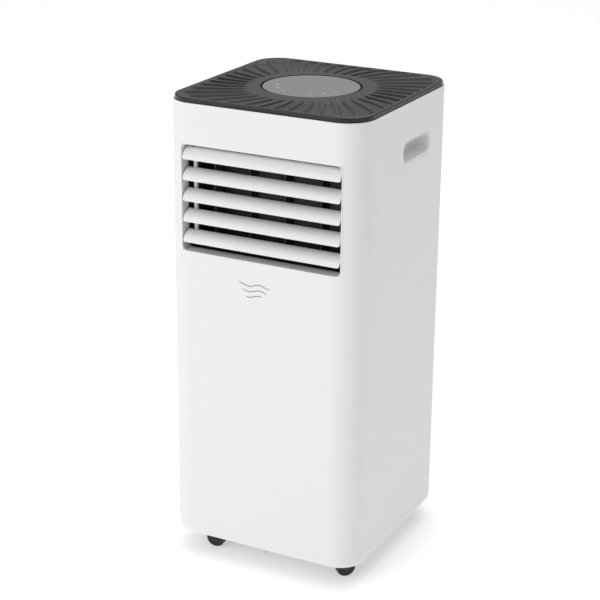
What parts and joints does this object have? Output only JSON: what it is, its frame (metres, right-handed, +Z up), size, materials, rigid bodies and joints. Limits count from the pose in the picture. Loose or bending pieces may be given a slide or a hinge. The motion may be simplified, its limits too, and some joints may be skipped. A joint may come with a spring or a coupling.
{
  "type": "portable air conditioner",
  "caption": "Portable air conditioner: white upright cabinet on casters, front air outlet with tilting louvres, dark ribbed top with a round touch panel, rear exhaust and filter.",
  "frame": {"origin": "on the floor under the middle of the cabinet, at the bottom centre of the bounding box", "axes": "+Z up, the front with the louvres faces -Y, +X to the right seen from the front"},
  "size_m": [0.3, 0.3, 0.68],
  "materials": {
    "white_plastic": "satin white moulding with a very fine grain",
    "anthracite_plastic": "dark anthracite, fine moulded grain, swirling ribs",
    "disc_glass": "smooth glossy grey with faint light touch symbols",
    "grey_plastic": "plain dark grey moulding",
    "light_grey_plastic": "plain light grey moulding",
    "black_plastic": "black moulding",
    "rubber": "matt black rubber",
    "circuit_board": "green varnished circuit board",
    "galvanised_steel": "bright galvanised steel",
    "coil_aluminium": "bare aluminium fins",
    "copper": "bare copper tube",
    "black_enamel": "black enamel",
    "filter_cloth": "fine dark nylon net"
  },
  "bodies": {
    "cabinet": {"front_panel": "white_plastic", "rear_shell": "white_plastic", "handle_left": "white_plastic", "handle_right": "white_plastic", "top_cover": "anthracite_plastic", "control_disc": "disc_glass", "base_tray": "grey_plastic", "drip_tray": "grey_plastic", "exhaust_collar": "grey_plastic", "electronics_box": "grey_plastic", "louvre_motor": "grey_plastic", "blower_scroll": "light_grey_plastic", "fan_scroll": "light_grey_plastic", "exhaust_duct": "light_grey_plastic", "outlet_duct": "black_plastic", "cord_gland": "rubber", "compressor_mount_1": "rubber", "compressor_mount_2": "rubber", "compressor_mount_3": "rubber", "display_board": "circuit_board", "main_board": "circuit_board", "side_frame_left": "galvanised_steel", "side_frame_right": "galvanised_steel", "blower_motor": "galvanised_steel", "fan_motor": "galvanised_steel", "slinger_motor": "galvanised_steel", "evaporator": "coil_aluminium", "condenser": "coil_aluminium", "capacitor": "coil_aluminium", "discharge_pipe": "copper", "suction_pipe": "copper", "compressor": "black_enamel"},
    "louvre_1": {"louvre_1": "white_plastic"},
    "louvre_2": {"louvre_2": "white_plastic"},
    "louvre_3": {"louvre_3": "white_plastic"},
    "louvre_4": {"louvre_4": "white_plastic"},
    "louvre_5": {"louvre_5": "white_plastic"},
    "louvre_link": {"louvre_link": "white_plastic"},
    "vane_1": {"vane_1": "black_plastic"},
    "vane_2": {"vane_2": "black_plastic"},
    "vane_3": {"vane_3": "black_plastic"},
    "vane_4": {"vane_4": "black_plastic"},
    "vane_link": {"vane_link": "black_plastic"},
    "blower": {"blower_wheel": "black_plastic", "blower_shaft": "galvanised_steel"},
    "fan": {"fan_wheel": "black_plastic", "fan_shaft": "galvanised_steel"},
    "slinger": {"slinger_wheel": "light_grey_plastic"},
    "caster_front_left": {"caster_fork_front_left": "black_plastic"},
    "wheel_front_left": {"caster_wheel_front_left": "black_plastic"},
    "caster_front_right": {"caster_fork_front_right": "black_plastic"},
    "wheel_front_right": {"caster_wheel_front_right": "black_plastic"},
    "caster_rear_left": {"caster_fork_rear_left": "black_plastic"},
    "wheel_rear_left": {"caster_wheel_rear_left": "black_plastic"},
    "caster_rear_right": {"caster_fork_rear_right": "black_plastic"},
    "wheel_rear_right": {"caster_wheel_rear_right": "black_plastic"},
    "filter": {"filter_frame": "white_plastic", "filter_mesh": "filter_cloth"},
    "plug_upper": {"drain_plug_upper": "rubber"},
    "plug_lower": {"drain_plug_lower": "rubber"}
  },
  "joints": [
    {"name": "louvre_1_tilt", "type": "hinge", "parent": "cabinet", "child": "louvre_1", "pos_m": [0, -0.1392, 0.604], "axis": [1, 0, 0], "range_deg": [-35, 42]},
    {"name": "louvre_2_tilt", "type": "hinge", "parent": "cabinet", "child": "louvre_2", "pos_m": [0, -0.1392, 0.57455], "axis": [1, 0, 0], "range_deg": [-35, 42]},
    {"name": "louvre_3_tilt", "type": "hinge", "parent": "cabinet", "child": "louvre_3", "pos_m": [0, -0.1392, 0.5451], "axis": [1, 0, 0], "range_deg": [-35, 42]},
    {"name": "louvre_4_tilt", "type": "hinge", "parent": "cabinet", "child": "louvre_4", "pos_m": [0, -0.1392, 0.51565], "axis": [1, 0, 0], "range_deg": [-35, 42]},
    {"name": "louvre_5_tilt", "type": "hinge", "parent": "cabinet", "child": "louvre_5", "pos_m": [0, -0.1392, 0.4862], "axis": [1, 0, 0], "range_deg": [-35, 42]},
    {"name": "louvre_link_pivot", "type": "hinge", "parent": "louvre_1", "child": "louvre_link", "pos_m": [-0.1107, -0.1272, 0.6055], "axis": [1, 0, 0], "range_deg": [-42, 35]},
    {"name": "vane_1_turn", "type": "hinge", "parent": "cabinet", "child": "vane_1", "pos_m": [-0.081, -0.118, 0.541], "axis": [0, 0, 1], "range_deg": [-35, 35]},
    {"name": "vane_2_turn", "type": "hinge", "parent": "cabinet", "child": "vane_2", "pos_m": [-0.027, -0.118, 0.541], "axis": [0, 0, 1], "range_deg": [-35, 35]},
    {"name": "vane_3_turn", "type": "hinge", "parent": "cabinet", "child": "vane_3", "pos_m": [0.027, -0.118, 0.541], "axis": [0, 0, 1], "range_deg": [-35, 35]},
    {"name": "vane_4_turn", "type": "hinge", "parent": "cabinet", "child": "vane_4", "pos_m": [0.081, -0.118, 0.541], "axis": [0, 0, 1], "range_deg": [-35, 35]},
    {"name": "vane_link_pivot", "type": "hinge", "parent": "vane_1", "child": "vane_link", "pos_m": [-0.081, -0.106, 0.541], "axis": [0, 0, 1], "range_deg": [-35, 35]},
    {"name": "blower_spin", "type": "hinge", "parent": "cabinet", "child": "blower", "pos_m": [-0.006, 0.015, 0.52], "axis": [0, 1, 0], "continuous": true},
    {"name": "fan_spin", "type": "hinge", "parent": "cabinet", "child": "fan", "pos_m": [-0.022, 0.015, 0.162], "axis": [0, 1, 0], "continuous": true},
    {"name": "slinger_spin", "type": "hinge", "parent": "cabinet", "child": "slinger", "pos_m": [0.104, 0.083, 0.078], "axis": [0, 1, 0], "continuous": true},
    {"name": "caster_front_left_swivel", "type": "hinge", "parent": "cabinet", "child": "caster_front_left", "pos_m": [-0.105, -0.117, 0.03], "axis": [0, 0, 1], "continuous": true},
    {"name": "wheel_front_left_roll", "type": "hinge", "parent": "caster_front_left", "child": "wheel_front_left", "pos_m": [-0.08906, -0.11561, 0.014], "axis": [-0.0872, 0.9962, 0], "continuous": true},
    {"name": "caster_front_right_swivel", "type": "hinge", "parent": "cabinet", "child": "caster_front_right", "pos_m": [0.105, -0.117, 0.03], "axis": [0, 0, 1], "continuous": true},
    {"name": "wheel_front_right_roll", "type": "hinge", "parent": "caster_front_right", "child": "wheel_front_right", "pos_m": [0.11631, -0.10569, 0.014], "axis": [-0.7071, 0.7071, 0], "continuous": true},
    {"name": "caster_rear_left_swivel", "type": "hinge", "parent": "cabinet", "child": "caster_rear_left", "pos_m": [-0.105, 0.117, 0.03], "axis": [0, 0, 1], "continuous": true},
    {"name": "wheel_rear_left_roll", "type": "hinge", "parent": "caster_rear_left", "child": "wheel_rear_left", "pos_m": [-0.11886, 0.109, 0.014], "axis": [0.5, -0.866, 0], "continuous": true},
    {"name": "caster_rear_right_swivel", "type": "hinge", "parent": "cabinet", "child": "caster_rear_right", "pos_m": [0.105, 0.117, 0.03], "axis": [0, 0, 1], "continuous": true},
    {"name": "wheel_rear_right_roll", "type": "hinge", "parent": "caster_rear_right", "child": "wheel_rear_right", "pos_m": [0.097, 0.13086, 0.014], "axis": [-0.866, -0.5, 0], "continuous": true},
    {"name": "filter_slide", "type": "slide", "parent": "cabinet", "child": "filter", "axis": [0, 1, 0], "range_m": [0, 0.05]},
    {"name": "plug_upper_slide", "type": "slide", "parent": "cabinet", "child": "plug_upper", "axis": [0, 1, 0], "range_m": [0, 0.03]},
    {"name": "plug_lower_slide", "type": "slide", "parent": "cabinet", "child": "plug_lower", "axis": [0, 1, 0], "range_m": [0, 0.03]}
  ],
  "couplings": [
    {"joint": "louvre_2_tilt", "follows": "louvre_1_tilt", "ratio": 1},
    {"joint": "louvre_3_tilt", "follows": "louvre_1_tilt", "ratio": 1},
    {"joint": "louvre_4_tilt", "follows": "louvre_1_tilt", "ratio": 1},
    {"joint": "louvre_5_tilt", "follows": "louvre_1_tilt", "ratio": 1},
    {"joint": "louvre_link_pivot", "follows": "louvre_1_tilt", "ratio": -1},
    {"joint": "vane_2_turn", "follows": "vane_1_turn", "ratio": 1},
    {"joint": "vane_3_turn", "follows": "vane_1_turn", "ratio": 1},
    {"joint": "vane_4_turn", "follows": "vane_1_turn", "ratio": 1},
    {"joint": "vane_link_pivot", "follows": "vane_1_turn", "ratio": -1}
  ]
}
